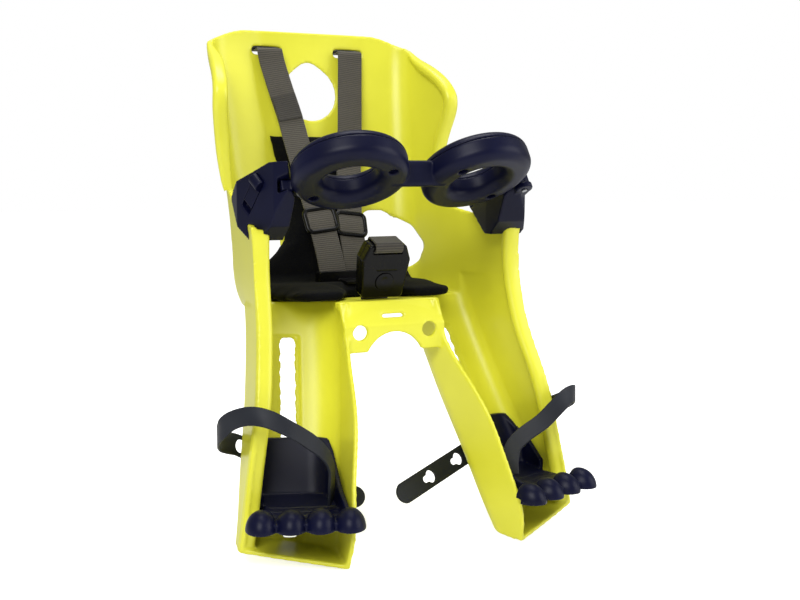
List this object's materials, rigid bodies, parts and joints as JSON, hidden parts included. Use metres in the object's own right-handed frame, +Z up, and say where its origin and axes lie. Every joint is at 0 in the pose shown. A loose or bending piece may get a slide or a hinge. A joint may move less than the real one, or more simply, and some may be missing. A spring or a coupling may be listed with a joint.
{
  "type": "front-mounted child bicycle seat",
  "caption": "Moulded child seat for the front of a bicycle, with a padded back, harness, hinged ring-shaped safety bar and sliding footrests with foot straps.",
  "frame": {"origin": "midway between the two rod holes in the front plate, at their middle", "axes": "+X across the seat to the right as seen from in front, -Y forwards, +Z up, as fitted on a bicycle"},
  "size_m": [0.3596, 0.361, 0.485],
  "materials": {
    "shell_plastic": "satin-gloss moulded, lime yellow",
    "navy_plastic": "satin-gloss moulded, dark navy",
    "black_plastic": "fine-textured moulded, black",
    "pad_fabric": "soft padded fabric, near-black navy",
    "webbing": "ribbed woven webbing, khaki brown",
    "strap_rubber": "satin moulded rubber, dark grey",
    "screw_steel": "plain steel"
  },
  "bodies": {
    "seat": {"seat_shell": "shell_plastic", "seat_pad": "pad_fabric", "bracket_right": "navy_plastic", "bracket_left": "navy_plastic", "bracket_screws": "screw_steel", "hinge_pin": "screw_steel", "shoulder_strap_left": "webbing", "strap_slider_left": "black_plastic", "strap_anchor_left": "screw_steel", "shoulder_strap_right": "webbing", "strap_slider_right": "black_plastic", "strap_anchor_right": "screw_steel", "harness_tongue": "black_plastic", "buckle_front": "black_plastic", "buckle_back": "black_plastic", "crotch_strap": "webbing", "crotch_anchor": "screw_steel"},
    "safety_bar": {"bar_frame": "navy_plastic", "bar_cap_right": "navy_plastic", "bar_cap_left": "navy_plastic", "bar_screws": "screw_steel"},
    "latch_button": {"latch_button": "navy_plastic"},
    "buckle_button": {"buckle_button": "black_plastic"},
    "footrest_right_slide": {"footrest_right": "navy_plastic", "footrest_lock_right": "navy_plastic", "footrest_screws_right": "screw_steel", "foot_strap_right": "strap_rubber"},
    "footrest_left_slide": {"footrest_left": "navy_plastic", "footrest_lock_left": "navy_plastic", "footrest_screws_left": "screw_steel", "foot_strap_left": "strap_rubber"}
  },
  "joints": [
    {"name": "bar_hinge", "type": "hinge", "parent": "seat", "child": "safety_bar", "pos_m": [0.12056, -0.01847, 0.143], "axis": [-0.0609, 0.4963, 0.866], "range_deg": [0, 110]},
    {"name": "latch_slide", "type": "slide", "parent": "seat", "child": "latch_button", "axis": [-0.1991, 0.5822, -0.7883], "range_m": [0, 0.006], "stiffness_N_per_m": 400},
    {"name": "buckle_press", "type": "slide", "parent": "seat", "child": "buckle_button", "axis": [0, 0.9472, 0.3206], "range_m": [0, 0.003], "stiffness_N_per_m": 800},
    {"name": "footrest_right_height", "type": "slide", "parent": "seat", "child": "footrest_right_slide", "axis": [-0.1546, 0.4595, 0.8746], "range_m": [-0.026, 0.013]},
    {"name": "footrest_left_height", "type": "slide", "parent": "seat", "child": "footrest_left_slide", "axis": [0.1546, 0.4595, 0.8746], "range_m": [-0.026, 0.013]}
  ]
}
